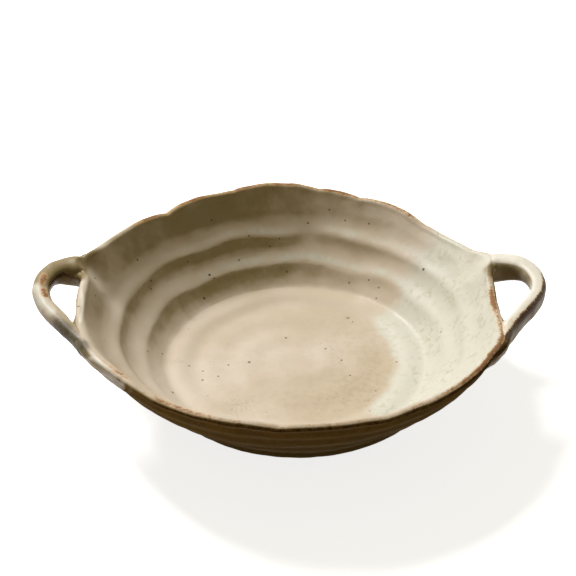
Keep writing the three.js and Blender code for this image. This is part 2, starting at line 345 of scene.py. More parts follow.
def closed_mesh(name, grid, first, last, fields):
    """Mesh from a grid of points in millimetres that closes across its columns.

    Rows run from the point first to the point last, each of which closes its end in a fan.
    A field is one number a grid point, kept as a point attribute of its name. Faces on the
    outside take the second material.
    """
    rows, columns = grid.shape[:2]
    points = np.concatenate([np.reshape(first, (1, 3)), grid.reshape(-1, 3),
                             np.reshape(last, (1, 3))]) * MM
    at = 1 + np.arange(rows * columns).reshape(rows, columns)
    beside = np.roll(at, -1, 1)
    quads = np.stack([at[:-1], at[1:], beside[1:], beside[:-1]], -1).reshape(-1, 4)
    start = np.stack([0 * at[0], at[0], beside[0]], -1)
    end = np.stack([0 * at[0] + len(points) - 1, beside[-1], at[-1]], -1)
    loops = np.concatenate([quads.ravel(), start.ravel(), end.ravel()])
    sizes = np.concatenate([np.full(len(quads), 4), np.full(2 * columns, 3)])
    mesh = bpy.data.meshes.new(name)
    mesh.vertices.add(len(points))
    mesh.vertices.foreach_set("co", points.astype(np.float32).ravel())
    mesh.loops.add(len(loops))
    mesh.loops.foreach_set("vertex_index", loops.astype(np.int32))
    mesh.polygons.add(len(sizes))
    mesh.polygons.foreach_set("loop_start", (np.cumsum(sizes) - sizes).astype(np.int32))
    thin = np.concatenate([fields["outside"][:-1].ravel(), fields["outside"][0],
                           fields["outside"][-1]]) > 0.5
    mesh.polygons.foreach_set("material_index", thin.astype(np.int32))
    mesh.update(calc_edges=True)
    mesh.validate()
    mesh.shade_smooth()
    for field, values in fields.items():
        ends = [values[0].mean()], [values[-1].mean()]
        whole = np.concatenate([ends[0], np.ravel(values), ends[1]]).astype(np.float32)
        mesh.attributes.new(field, "FLOAT", "POINT").data.foreach_set("value", whole)
    return in_scene(name, mesh)


def join_lift(distance, size):
    """How far a surface lifts beside a luted joint: size times (1 - root of distance/size)
    squared, so that two surfaces that lift by it meet in one smooth cove. It ends at a
    quarter of the size, before the cove folds over itself."""
    return size * (1 - np.sqrt(np.clip(distance / np.maximum(size, 1e-6), 0.25, 1))) ** 2


def not_upward(facing):
    """1 on what faces down, smoothly less to 0 on what faces up, where joints have no cove."""
    return 1 - smooth(facing[..., 2] * 1.6 + 0.1)


# The loops are shaped here because the body's skin swells where they are luted on. Each
# station is degrees from the loop's middle, centre past the rim's radius, top above the mean
# lip, width, height, and degrees by which the section leans towards the bowl.
STRAP_STEPS = 260
STRAP_SIDES = 56
STRAP_PASSES = 50        # so that no bend of the line is tighter than the strap's half
JOINT_SHARE = 0.62       # the cove at a joint, as a share of the strap's height there
JOINT_REACH = 110        # what of the bowl may lie near a loop: millimetres from its middle,
JOINT_ROWS = 40          # rows inwards from the lip, and millimetres above the table
JOINT_LOWEST = 25
BESIDE_FADE = 9          # millimetres over which the glaze changes away from a strap, and the
ROUND_FADE = 26          # same for its widest change
LOOPS = {
    "left_handle": {
        "middle": 180,
        "sunk": [0, 0],          # for each end: 1 if sunk into the lip, 0 if laid over it
        "rounding": 2.3,         # power of the section's superellipse, 2 is an ellipse
        "stations": [
            [-12.1, 0, 2.8, 13, 12, 10],
            [-11.7, 4, 4.9, 17, 17, 14],
            [-11.2, 8.5, 6, 18.5, 19.5, 18],
            [-10.7, 13, 6, 17.4, 18.4, 20],
            [-9.2, 18.4, 6, 15, 15.6, 19],
            [-5.6, 23.8, 5.5, 12.4, 12.4, 13],
            [-0.6, 25, 4.8, 11.2, 11.4, 4],
            [4.6, 21.8, 4.2, 10.6, 11, 4],
            [9.6, 16.3, 3.7, 10.4, 10.4, 6],
            [14.5, 10.9, 3.2, 10.2, 9.8, 8],
            [20, 6.1, 2.6, 9.6, 9.4, 8],
            [26.5, 2.7, 2, 8, 9, 6],
            [33.5, 0.9, 1, 6, 7.5, 3],
            [40, 0.2, -1, 3, 4, 0],
        ],
        "seed": 61,
    },
    "right_handle": {
        "middle": 0,
        "sunk": [1, 0],
        "rounding": 3,
        "stations": [
            [-33, 0.4, -5, 3, 4, 0],
            [-26, 1.4, -3.6, 6, 8.5, 0],
            [-19, 3.3, -2.8, 8, 11.5, 0],
            [-13, 6.8, -2.2, 8.8, 12.4, 0],
            [-8, 12.5, -1.2, 8.8, 12.8, 0],
            [-3.4, 19.2, -0.2, 9, 12.8, 0],
            [1.2, 25.2, 0.6, 9.8, 12.4, 0],
            [6.6, 27, 1.2, 10.6, 12.4, 0],
            [11.6, 23.6, 1.5, 12.6, 13.6, 0],
            [14.6, 16.4, 1.3, 15.8, 16.4, -4],
            [16, 11, 0.9, 17.8, 18.4, -6],
            [16.8, 6, 0.4, 17.5, 18, -6],
            [17.4, 2, -1.6, 15, 14, -6],
            [17.8, -2, -3, 12, 11, -4],
        ],
        "seed": 62,
    },
}


def curve_through(stations, steps):
    """Even steps along a centripetal Catmull-Rom curve through stations, whose first three
    numbers are a place: between two of them it blends the three lines through the four
    nearest ones, each by its knots."""
    padded = np.concatenate([[2 * stations[0] - stations[1]], stations,
                             [2 * stations[-1] - stations[-2]]])
    gaps = np.sqrt(np.linalg.norm(np.diff(padded[:, :3], axis=0), axis=1))
    share = np.linspace(0, 1, 40, endpoint=False)[None, :, None]
    p = [padded[k:len(padded) - 3 + k, None] for k in range(4)]
    g = [gaps[k:len(gaps) - 2 + k, None, None] for k in range(3)]
    t = [-g[0], 0 * g[0], g[1], g[1] + g[2]]
    now = share * g[1]

    def between(a, b, i, j):
        """The straight line through a at knot i and b at knot j."""
        return (a * (t[j] - now) + b * (now - t[i])) / (t[j] - t[i])

    a = [between(p[k], p[k + 1], k, k + 1) for k in range(3)]
    b = [between(a[0], a[1], 0, 2), between(a[1], a[2], 1, 3)]
    fine = np.concatenate([between(b[0], b[1], 1, 2).reshape(-1, stations.shape[1]),
                           stations[-1:]])
    step = np.linalg.norm(np.diff(fine[:, :3], axis=0), axis=1)
    run = np.concatenate([[0], np.cumsum(step)])
    even = np.linspace(0, run[-1], steps)
    return np.stack([np.interp(even, run, column) for column in fine.T], -1)


def strap_frame(loop):
    """The strap's centreline and, at each step, its outward and upward directions, turned
    about the line by its lean, its half sizes and the size of the cove at its joint."""
    turn, out, top, width, height, lean = np.array(loop["stations"], float).T
    angle, r = np.radians(loop["middle"] + turn), RIM_RADIUS + out
    place = [r * np.cos(angle), r * np.sin(angle), RIM_HEIGHT + top - height / 2]
    line = curve_through(np.stack([*place, width, height, np.radians(lean)], -1), STRAP_STEPS)
    line = soften(line, STRAP_PASSES, 1)
    path, (width, height, lean) = line[:, :3], line[:, 3:].T
    along = np.gradient(path, axis=0)
    along /= np.linalg.norm(along, axis=1, keepdims=True)
    side = np.stack([along[:, 1], -along[:, 0], 0 * along[:, 0]], -1)
    side /= np.linalg.norm(side, axis=1, keepdims=True)
    up = np.cross(side, along)
    cos, sin = np.cos(lean)[:, None], np.sin(lean)[:, None]
    return {
        "path": path, "along": along, "side": side * cos + up * sin,
        "up": up * cos - side * sin, "half_width": width / 2, "half_height": height / 2,
        "joint": JOINT_SHARE * height, "rounding": loop["rounding"],
    }


def strap_distance(points, strap):
    """About how far points lie outside a strap: from the nearest step of its centreline,
    the way out along the line from it, past its superellipse section or its end."""
    away = np.linalg.norm(points[:, None] - strap["path"][None], axis=-1)
    near = away.argmin(1)
    offset = points - strap["path"][near]
    ways = [("side", "half_width"), ("up", "half_height"), ("along", "half_width")]
    shares = [np.abs((offset * strap[way][near]).sum(-1)) / strap[half][near]
              for way, half in ways]
    power = strap["rounding"]
    q = sum(share ** power for share in shares) ** (1 / power)
    return away.min(1) * (1 - 1 / np.maximum(q, 1e-6)), strap["joint"][near]


straps = {name: strap_frame(loop) for name, loop in LOOPS.items()}
angle = np.arange(COLUMNS)[None] * 360 / COLUMNS
radius, height = profile(angle)
first_wall = FLOOR_ROWS - 1
lip_row = first_wall + WALL_ROWS + 1 + LIP_ROWS // 2
rows = np.arange(len(radius))[:, None] + 0 * angle
radius, height = soften(radius, 2, 1), soften(height, 2, 1)
near_lip = smooth((WIPED_ROWS - np.abs(rows - lip_row)) / WIPED_FADE)
wiped = (np.clip(humps(WIPED, angle), 0, 1) * near_lip)[1:-1]
radius, height = (soften(part, WIPED_PASSES, wiped) for part in (radius, height))


def placed(angle, radius, height):
    """Points from angle, radius and height about the bowl's leaning middle."""
    turn = np.radians(angle)
    return np.stack([axis_x(height) + radius * np.cos(turn),
                     radius * np.sin(turn) + 0 * height, height + 0 * radius], -1)


grid = placed(angle, radius, height)
facing = normals(grid)
steps = np.linalg.norm(np.diff(grid, axis=0), axis=-1)
run = np.concatenate([np.zeros((1, COLUMNS)), np.cumsum(steps, 0)])
from_crest = run - run[lip_row]          # millimetres outwards over the lip, less inside it
inside = rows <= lip_row
on_wall = inside & (rows >= first_wall)

SKIN = [[0.16, 34, 5], [0.07, 11, 6], [0.03, 5, 7]]      # lumps: size, wavelength and seed
skin = sum(size * lumps(grid, wavelength, seed) for size, wavelength, seed in SKIN)
on_floor, on_base = rows < first_wall, rows > len(grid) - BASE_ROWS
lift = skin * (np.where(on_floor, 0.35, 1) * np.where(on_base, 0.3, 1))
beside = {name: np.zeros(rows.shape) for name in LOOPS}      # 1 at a strap, 0 far from it
round_about = {name: np.zeros(rows.shape) for name in LOOPS}    # the same, much wider
for name, strap in straps.items():
    close = np.linalg.norm(grid - strap["path"].mean(0), axis=-1) < JOINT_REACH
    close &= (rows >= lip_row - JOINT_ROWS) & (grid[..., 2] > JOINT_LOWEST)
    distance, joint = strap_distance(grid[close], strap)
    lift[close] += join_lift(distance, joint * not_upward(facing[close]))
    beside[name][close] = smooth(1.2 - distance / BESIDE_FADE)
    round_about[name][close] = smooth(1.1 - distance / ROUND_FADE)
body_grid = grid + facing * lift[..., None]

# Marks of the glaze, with painted highlights and painted shade among them, each from 0 to 1.
# Where the lip runs rusty: angle, size and half-width
LIP_RUST = [
    [96, 1.35, 32], [134, 0.9, 14], [56, 0.7, 15], [28, 0.5, 10],
    [222, 0.7, 8], [241, 0.7, 8], [356, 1.4, 14],
]
# Places in pixels of the photograph, with a size in pixels and a strength
BURNT_SPOTS = [
    [338, 313, 3, 0.5], [348, 318, 2.5, 0.6], [353, 322, 2, 0.7], [370, 410, 4, 0.6],
    [277, 279, 4, 0.3], [275, 275, 3, 0.3],
]
CRAWLED = [[232, 408, 10, 0.9], [248, 404, 8, 0.9], [368, 400, 8, 0.9], [345, 384, 8, 0.6]]
# A painted highlight on the lip's outer face at the front left, also on the left loop's arm
# there
LIP_HIGHLIGHT = [
    [92, 361, 6, 1.1], [97, 366, 6, 1.2], [104, 371, 5, 1.1], [112, 377, 5, 0.9],
    [121, 384, 5, 0.7], [130, 391, 4, 0.5],
]
OCHRE_SPOTS = [[368, 402, 2.4, 0.8], [211, 406, 2, 0.3]]
# Painted shade in the corner under the right loop's back root
RIGHT_CORNER_SHADE = [[491, 268, 5, 1.2], [489, 275, 4, 0.8], [484, 270, 4, 0.4], [477, 275, 6, 0.25]]
# A painted highlight along the lip's ridge between the left loop's arms
LEFT_RIDGE_HIGHLIGHT = [(79, 285), (82, 296), (83, 308), (80, 321)]
# A dark streak along the left loop's front arm, where it meets the lip
LEFT_DARK_STREAK = [(58, 326), (67, 334), (77, 341), (83, 346)]
# Painted shade in the corner under the left loop's back root
LEFT_CORNER_SHADE = [[78, 271, 5, 1.2], [80, 277, 4, 0.8]]
# Lines along the lip: millimetres out from its crest, half-width and strength
RUST_LINE, FRONT_RUST, RIGHT_RUST = [-0.3, 2.4, 1], [1, 1.3, 0.55], [0.4, 1.9, 0.8]
DASH_LINE, FRONT_BURNT, RIGHT_BURNT = [-4, 1.1, 0.5], [4.2, 2.6, 0.75], [3, 1.5, 0.5]
# The left loop's khaki over the lip's crest at its back root, also painted shade that dims the
# crest's highlight there
GAP_BURNT, ROOT_KHAKI_AND_SHADE = [2.6, 1.2, 0.9], [0, 4.5, 0.8]
# Parts of the bowl: angle, size and half-width
RIGHT_FRONT, RIGHT_GAP, LEFT_ROOT = [[329, 1, 15]], [[0, 1, 10]], [[169, 1, 7]]
# Back ledges: where painted light lies on ledges that face up towards the lamp
BACK_LIP, LIT_BACK_LEDGES, TAN_SIDE = [[96, 1, 30]], [[80, 1, 60]], [[325, 1, 70]]
# The pale side is glaze; the shaded side is where painted shade lies on the inner wall that
# faces away from the lamp
PALE_SIDE, SHADED_SIDE = [[352, 1.25, 50]], [[119, 1, 44], [172, 0.3, 20]]
FRONT_ANGLE = 286        # middle of the lip's front, and how far its rust reaches
FRONT_REACH = 60
PALE_EDGE = 0.32         # where the pale side's bell is cut off
PALE_INNER = 57          # radius on the floor at which the pale side begins
PALE_WANDER = 7
TAN_DISC = 56
# Height above which the painted shade on the back wall grows towards the lip
SHADED_TOP_RISE = 38
UNDER_LOOP = 194         # middle of the khaki outside under the left loop, and its reach
UNDER_LOOP_REACH = 26


def lip_line(at, wide, strength):
    """Strength times a bell of the millimetres out over the lip from the line."""
    return strength * bell((from_crest - at) / wide)


spot = seen_at(grid)
towards = facing_camera(grid, facing)
rise = np.where(inside, height - FLOOR_Z, 0)
share = np.clip((rise - STEP_RISE) / (WALL_RISE - STEP_RISE), 0, 1)
ridges = np.where(on_wall, ridge_shape(angle, share), 0)
slope = np.gradient(ridges, axis=0) / np.maximum(np.gradient(rise, axis=0), 0.2)
rusty = np.clip(humps(LIP_RUST, angle), 0, 1)
drift = np.where(angle > 180, PALE_WANDER * lumps(grid, 34, 31), 0)
dashes = smooth(ripple(angle, 20, 60, 12) * 2) * humps(BACK_LIP, angle)
outside = smooth((from_crest - 0.8) / 2.6) * (1 - beside["left_handle"])
outside *= 1 - beside["right_handle"] * np.where(angle < 180, 1, smooth((angle - 346) / 10))
outside *= 1 - np.clip(blots(LIP_HIGHLIGHT, spot) * 0.9, 0, 1)
front_lip = smooth((FRONT_REACH - apart(angle, FRONT_ANGLE)) / 14)
right_front, left_root = humps(RIGHT_FRONT, angle), humps(LEFT_ROOT, angle)
# Painted shade in the corner under the right loop's back root
corner = np.clip(blots(RIGHT_CORNER_SHADE, spot) * towards * (angle < 90), 0, 1)
marks = {
    "rust": lip_line(*RUST_LINE) * rusty * (0.85 + 0.25 * ripple(angle, 8, 30, 8))
            + lip_line(*FRONT_RUST) * front_lip + lip_line(*RIGHT_RUST) * right_front
            + blots(OCHRE_SPOTS, spot) * inside,
    "burnt": np.clip(lip_line(*DASH_LINE) * dashes + lip_line(*FRONT_BURNT) * front_lip
                     + lip_line(*RIGHT_BURNT) * right_front
                     + lip_line(*GAP_BURNT) * humps(RIGHT_GAP, angle)
                     + blots(BURNT_SPOTS, spot) * inside, 0, 1),
    # Pale: the pale glaze of the right side inside, and painted light on back ledges that face
    # up; less of it in the painted shade of the right loop's corner
    "pale": np.where(inside, smooth((humps(PALE_SIDE, angle + drift) - PALE_EDGE)
                                    * np.where(angle > 180, 1.5, 2.4))
                     * smooth((radius - PALE_INNER) / 15) * (1 - 0.8 * corner), 0)
            + np.where(on_wall, 0.5 * smooth(-slope / 0.7) * humps(LIT_BACK_LEDGES, angle), 0),
    # Painted highlight: on the lip at the front left, along the ridge between the left loop's
    # arms, and by the right loop's back root, none in that root's shaded corner
    "white": blots(LIP_HIGHLIGHT, spot) * towards * smooth((from_crest + 1) / 2)
             + 0.8 * stroke(LEFT_RIDGE_HIGHLIGHT, spot, 2.5) * inside
             + np.where(inside, 0.45 * round_about["right_handle"], 0.8 * beside["right_handle"])
             * (angle < 180) * (1 - corner),
    # Olive, as painted shade on the inner wall that faces away from the lamp: heavier on the
    # steep faces under the ridges and near the lip, lighter on the ledges and by the left loop
    "olive": np.where(on_wall, humps(SHADED_SIDE, angle)
                      * (1 - 0.75 * round_about["left_handle"])
                      * np.clip(0.36 + 0.85 * smooth(slope / 0.4)
                                + 0.75 * smooth((rise - SHADED_TOP_RISE) / 6)
                                - smooth(-slope / 0.5), 0, 1), 0),
    "tan": np.where(inside, (1 - smooth((radius - TAN_DISC) / 16))
                    * (0.2 + 0.7 * humps(TAN_SIDE, angle) * smooth((radius - 15) / 30)), 0),
    # Khaki: the left loop's own glaze carried onto the bowl beside it, khaki on the outer wall
    # under it, and painted shade on the inner wall and the lip's crest at its back root and in
    # the corners under both back roots
    "khaki": np.where(inside, 0.1 * round_about["left_handle"]
                      + 0.28 * beside["left_handle"] * smooth((173 - angle) / 6),
                      0.85 * beside["left_handle"])
             * (1 - 0.6 * smooth((angle - 176) / 14))
             + 0.75 * smooth((from_crest - 2) / 2)
             * smooth((UNDER_LOOP_REACH - apart(angle, UNDER_LOOP)) / 6)
             + lip_line(*ROOT_KHAKI_AND_SHADE) * left_root + corner
             + blots(LEFT_CORNER_SHADE, spot) * towards * (angle > 90),
    "dark_streak": 0.9 * stroke(LEFT_DARK_STREAK, spot, 10) * towards * smooth((from_crest + 3.5) / 4),
    "crawl": blots(CRAWLED, spot) * inside,
    "outside": outside,
}


def shader_node(tree, kind, inputs, **settings):
    """A shader node with its settings. Its inputs are values, or outputs that it reads."""
    node = tree.nodes.new(kind)
    for key, value in settings.items():
        setattr(node, key, value)
    for key, value in inputs.items():
        if isinstance(value, bpy.types.NodeSocket):
            tree.links.new(value, node.inputs[key])
        else:
            node.inputs[key].default_value = value
    return node


class Recipe:
    """A material's nodes, written as sums: noise, marks, thresholds and mixed colours."""

    def __init__(self, name):
        self.material = bpy.data.materials.new(name)
        self.material.use_nodes = True
        self.tree = self.material.node_tree
        self.shader = self.tree.nodes["Principled BSDF"]
        self.where = shader_node(self.tree, "ShaderNodeTexCoord", {}).outputs["Object"]

    def noise(self, size, detail=2, rough=0.5):
        """Noise whose blotches are about size millimetres across."""
        return shader_node(self.tree, "ShaderNodeTexNoise", {
            "Vector": self.where, "Scale": 1 / (size * MM), "Detail": detail,
            "Roughness": rough}).outputs["Fac"]

    def spots(self, spacing):
        """Distance to the nearest of scattered points, and a random colour for each."""
        node = shader_node(self.tree, "ShaderNodeTexVoronoi", {
            "Vector": self.where, "Scale": 1 / (spacing * MM), "Randomness": 1})
        return node.outputs["Distance"], node.outputs["Color"]

    def mark(self, name):
        """The piece's own mark of that name."""
        return shader_node(self.tree, "ShaderNodeAttribute", {},
                           attribute_name=name).outputs["Fac"]

    def sum(self, kind, a, b):
        """Two values brought together by one kind of sum."""
        return shader_node(self.tree, "ShaderNodeMath", {0: a, 1: b},
                           operation=kind).outputs[0]

    def ramp(self, value, low, high, to_low=0.0, to_high=1.0):
        """The value, smoothly taken from low..high to to_low..to_high."""
        return shader_node(self.tree, "ShaderNodeMapRange", {
            "Value": value, "From Min": low, "From Max": high, "To Min": to_low,
            "To Max": to_high}, interpolation_type="SMOOTHSTEP").outputs["Result"]

    def mix(self, share, a, b):
        """Colour b over colour a by a share."""
        node = shader_node(self.tree, "ShaderNodeMix", {"Factor": share}, data_type="RGBA")
        for socket, value in ((node.inputs[6], a), (node.inputs[7], b)):
            if isinstance(value, bpy.types.NodeSocket):
                self.tree.links.new(value, socket)
            else:
                socket.default_value = (*value, 1)
        return node.outputs[2]

    def bump(self, height, depth, under=None):
        """A bump of a depth in millimetres over another one."""
        node = shader_node(self.tree, "ShaderNodeBump", {
            "Height": height, "Distance": depth * MM, "Strength": 1.0})
        if under is not None:
            self.tree.links.new(under, node.inputs["Normal"])
        return node.outputs["Normal"]

    def near(self, places):
        """Distance in millimetres to the nearest of a few places."""
        nearest = None
        for place in places:
            away = shader_node(self.tree, "ShaderNodeVectorMath", {
                0: self.where, 1: [float(v) * MM for v in place]},
                operation="DISTANCE").outputs["Value"]
            nearest = away if nearest is None else self.sum("MINIMUM", nearest, away)
        return self.sum("DIVIDE", nearest, MM)

    def feed(self, socket, output):
        """An output led into the glaze or clay itself."""
        self.tree.links.new(output, self.shader.inputs[socket])


CREAM = (0.69, 0.595, 0.49)
OATMEAL = (0.585, 0.49, 0.365)
CELADON = (0.655, 0.64, 0.55)
FLECK = (0.42, 0.385, 0.24)
# A white for painted highlights
PAINTED_HIGHLIGHT = (0.86, 0.81, 0.70)
KHAKI = (0.22, 0.15, 0.045)
# An olive for painted shade
OLIVE_SHADE = (0.26, 0.195, 0.07)
DARK_STREAK = (0.055, 0.04, 0.012)
WARM_TAN = (0.57, 0.465, 0.34)
DULL_TAN = (0.45, 0.37, 0.24)
# The outside's thinner, browner glaze, darkened further as painted shade on a wall that faces
# down, away from the lamp
THIN_AND_SHADED_OUTER = (0.2, 0.125, 0.02)
THIN_AND_SHADED_OUTER_PALE = (0.29, 0.20, 0.055)
RUST = (0.21, 0.08, 0.018)
RUST_PALE = (0.61, 0.37, 0.15)
BURNT = (0.10, 0.05, 0.015)
CRAWL = (0.36, 0.29, 0.19)
IRON = (0.05, 0.028, 0.012)

# Iron specks in the glaze: those placed inside the bowl, in pixels of the photograph, and the
# scattered ones, by their spacing, size in spacings, rarity and strength
SPECKS = [
    (211, 220), (249, 236), (270, 247), (279, 238), (188, 261), (239, 259), (214, 277),
    (204, 299), (287, 271), (329, 210), (369, 223), (349, 283), (369, 280), (378, 288),
    (377, 298), (307, 224), (345, 221), (163, 354), (229, 365), (202, 371), (325, 349),
    (341, 360), (350, 375), (398, 362), (375, 390), (188, 366), (203, 380), (219, 376),
    (95, 278), (95, 296), (151, 280), (151, 289), (147, 351),
]
SPECK_SIZE = 0.62
SCATTERED_SPECKS = [[17, 0.045, 0.5, 0.85], [6.5, 0.05, 0.7, 0.5]]
SATIN, DRY = [0.18, 0.42], [0.04, 0.75]      # specular level and roughness of the two coats
LUMP_DEPTH = 0.10
GRAIN_DEPTH = 0.035


def glaze(name, specular, roughness):
    """Stoneware glaze: two creams in slow clouds, then each mark over them with its edge
    broken by noise, painted highlights and painted shade among them, rust and brown where it
    runs thin, and iron specks from the clay."""
    made = Recipe(name)
    clouds, mottle, grain = made.noise(60, 3), made.noise(13, 4), made.noise(1.3, 3)
    fine = made.noise(4, 4, 0.6)
    colour = made.mix(made.ramp(clouds, 0.35, 0.65), CREAM, OATMEAL)

    def broken(mark, noise, amount, low, high):
        """A mark moved up and down by an amount of noise, then taken from low..high to 0..1."""
        moved = made.sum("MULTIPLY", made.sum("SUBTRACT", noise, 0.5), amount)
        return made.ramp(made.sum("ADD", made.mark(mark), moved), low, high)

    def over(under, share, strength, top):
        """A top colour laid over another one by a share times a strength."""
        return made.mix(made.sum("MULTIPLY", share, strength), under, top)

    colour = over(colour, broken("tan", mottle, 0.9, 0.0, 1.0), 0.85, WARM_TAN)
    grainy = made.sum("MULTIPLY", made.mark("tan"), made.ramp(fine, 0.42, 0.66))
    colour = over(colour, grainy, 0.55, DULL_TAN)
    # Khaki: the glaze's own khaki, and painted shade by the loops' back roots
    colour = over(colour, broken("khaki", mottle, 0.8, 0.1, 0.8), 0.9, KHAKI)
    # The outside: thinner, browner glaze, darkened further as painted shade
    thin = made.mix(made.ramp(mottle, 0.4, 0.62), THIN_AND_SHADED_OUTER, THIN_AND_SHADED_OUTER_PALE)
    colour = over(colour, broken("outside", mottle, 0.6, 0.2, 0.8), 0.92, thin)
    # Olive, as painted shade: the back wall inside and each loop's side towards its hole
    colour = over(colour, broken("olive", mottle, 1.0, 0.1, 1.0), 0.85, OLIVE_SHADE)
    # A dark streak along the left loop's front arm
    colour = over(colour, broken("dark_streak", mottle, 0.9, 0.15, 1.1), 0.95, DARK_STREAK)
    # Pale: the glaze of the right side, and painted light on back ledges and lit loop faces
    colour = over(colour, broken("pale", mottle, 0.9, 0.1, 0.8), 0.95, CELADON)
    flecks = made.sum("MULTIPLY", made.ramp(fine, 0.48, 0.66), made.ramp(mottle, 0.36, 0.6))
    colour = over(colour, made.sum("MULTIPLY", made.mark("pale"), flecks), 0.48, FLECK)
    # Painted highlight: white where the lip, its ridge and the right loop's top catch the lamp
    colour = over(colour, broken("white", mottle, 0.6, 0.2, 0.9), 0.9, PAINTED_HIGHLIGHT)
    colour = over(colour, made.ramp(grain, 0.3, 0.8), 0.14, OATMEAL)
    ragged = made.sum("ADD", fine, made.sum("SUBTRACT", grain, 0.5))
    colour = over(colour, broken("rust", ragged, 0.9, 0.15, 0.9), 0.75, RUST_PALE)
    colour = over(colour, broken("rust", ragged, 1.1, 0.5, 1.05), 0.88, RUST)
    colour = over(colour, broken("burnt", ragged, 1.2, 0.35, 0.9), 0.92, BURNT)
    crawled = made.sum("MULTIPLY", made.mark("crawl"), made.ramp(made.noise(1.4, 4), 0.48, 0.64))
    colour = over(colour, crawled, 0.55, CRAWL)
    for spacing, size, chance, strength in SCATTERED_SPECKS:
        distance, pick = made.spots(spacing)
        there = made.ramp(distance, size, size * 1.7, 1, 0)
        chosen = made.sum("GREATER_THAN", pick, chance)
        colour = over(colour, made.sum("MULTIPLY", there, chosen), strength, IRON)
    moved = made.sum("ADD", made.near(speck_places), made.sum("SUBTRACT", grain, 0.5))
    colour = over(colour, made.ramp(moved, SPECK_SIZE * 0.6, SPECK_SIZE * 1.6, 1, 0), 0.75, IRON)
    made.feed("Base Color", colour)
    made.feed("Roughness", made.ramp(mottle, 0.3, 0.7, roughness - 0.05, roughness + 0.07))
    skin = made.bump(made.noise(4.5, 3), LUMP_DEPTH)
    made.feed("Normal", made.bump(grain, GRAIN_DEPTH, skin))
    made.shader.inputs["Specular IOR Level"].default_value = specular
    return made.material


def middle_of(z):
    """The bowl's leaning middle at a height."""
    return [axis_x(z), 0, z]


bowl_body = closed_mesh("thrown_bowl", body_grid, middle_of(FLOOR_Z), middle_of(FOOT_HEIGHT),
                        marks)
shows = np.where(inside, 0, 1e6)
speck_places = [body_grid.reshape(-1, 3)[np.argmin(np.hypot(spot[0] - x, spot[1] - y) + shows)]
                for x, y in SPECKS]
glazes = [glaze("satin_glaze", *SATIN), glaze("thin_glaze", *DRY)]
for coat in glazes:
    bowl_body.data.materials.append(coat)
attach(bowl_body, "root")
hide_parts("bowl_body")

# Loop handles: each a pulled strap of the same clay bent into a loop and luted to the rim.
# The back root is tall, laid over the lip and pressed down; the front arm runs along the rim
# until it ends in it. They are glazed with the body, and rusty where the glaze ran thin; their
# colour also carries painted light where they face the lamp and painted shade on the sides
# towards the holes.
outer_rows = slice(lip_row, len(grid) - BASE_ROWS - HEEL_ROWS)


def about_bowl(points):
    """Radius of points about the bowl's leaning middle, and the grid's column at their angle."""
    x = points[..., 0] - axis_x(points[..., 2])
    turn = np.degrees(np.arctan2(points[..., 1], x)) % 360
    return np.hypot(x, points[..., 1]), np.round(turn / 360 * COLUMNS).astype(int) % COLUMNS


def outer_radius(column, height):
    """Radius of the bowl's outer face, from the lip's crest down, at columns and heights: on
    the straight line between the two nearest rows."""
    rings, levels = radius[outer_rows].T[column], grid[outer_rows, :, 2].T[column]
    below = levels <= height[:, None]
    at = np.clip(below.argmax(1), 1, rings.shape[1] - 1)
    pick = np.arange(len(column))
    high, low = levels[pick, at - 1], levels[pick, at]
    share = np.clip((high - height) / np.maximum(high - low, 1e-6), 0, 1)
    found = rings[pick, at - 1] * (1 - share) + rings[pick, at] * share
    return np.where(height > levels[:, 0], rings[:, 0], found)


# What keeps a strap's end from standing out of the bowl's inner face: how far it stays under
# that skin, and how far past the lip's crest it may start to rise, laid over and sunk
CEILING_UNDER = [0.4, 1.3]
CEILING_START = [-3, 1.5]
CEILING_RISE = 0.12
CEILING_ROUND = 0.8
CEILING_LEAD = 2.5       # the stay under the skin ends from this far before the start, over
CEILING_FADE = 3         # this much
CEILING_ROWS = 16


def kept_under_lip(points, sunk):
    """Heights brought by a smooth minimum under the lip's inner skin, and near its crest
    under a parabola that rises over it. Sunk is 0 for an end laid over the lip, else 1."""
    depth, start = (np.interp(sunk, [0, 1], pair) for pair in (CEILING_UNDER, CEILING_START))
    r, column = about_bowl(points)
    inner = slice(lip_row - CEILING_ROWS, lip_row + 1)
    rings, levels = radius[inner].T[column], grid[inner, :, 2].T[column]
    at = np.clip((rings <= r[..., None]).sum(-1), 1, rings.shape[-1] - 1)[..., None]
    low, high = (np.take_along_axis(rings, at - k, -1)[..., 0] for k in (1, 0))
    under, over = (np.take_along_axis(levels, at - k, -1)[..., 0] for k in (1, 0))
    share = np.clip((r - low) / np.maximum(high - low, 1e-6), 0, 1)
    past = r - rings[..., -1]
    hidden = 1 - smooth((past - start + CEILING_LEAD) / CEILING_FADE)
    ceiling = (under + (over - under) * share - depth * hidden
               + CEILING_RISE * np.maximum(past - start, 0) ** 2)
    z = points[..., 2]
    near = np.clip(0.5 + (ceiling - z) / (2 * CEILING_ROUND), 0, 1)
    return z * near + ceiling * (1 - near) - CEILING_ROUND * near * (1 - near)


def body_distance(points):
    """About how far points lie outside the bowl: their way to the nearest point of the
    section at their own angle, less than nothing inside it."""
    r, column = about_bowl(points)
    rings, levels = radius[outer_rows].T[column], grid[outer_rows, :, 2].T[column]
    gap = np.hypot(rings - r[:, None], levels - points[:, 2:3]).min(1)
    under_lip = points[:, 2] < levels[:, 0]
    return np.where(under_lip & (r < outer_radius(column, points[:, 2])), -gap, gap)


STRAP_SKIN = [[0.42, 28, 0], [0.16, 13, 10], [0.05, 6, 20]]


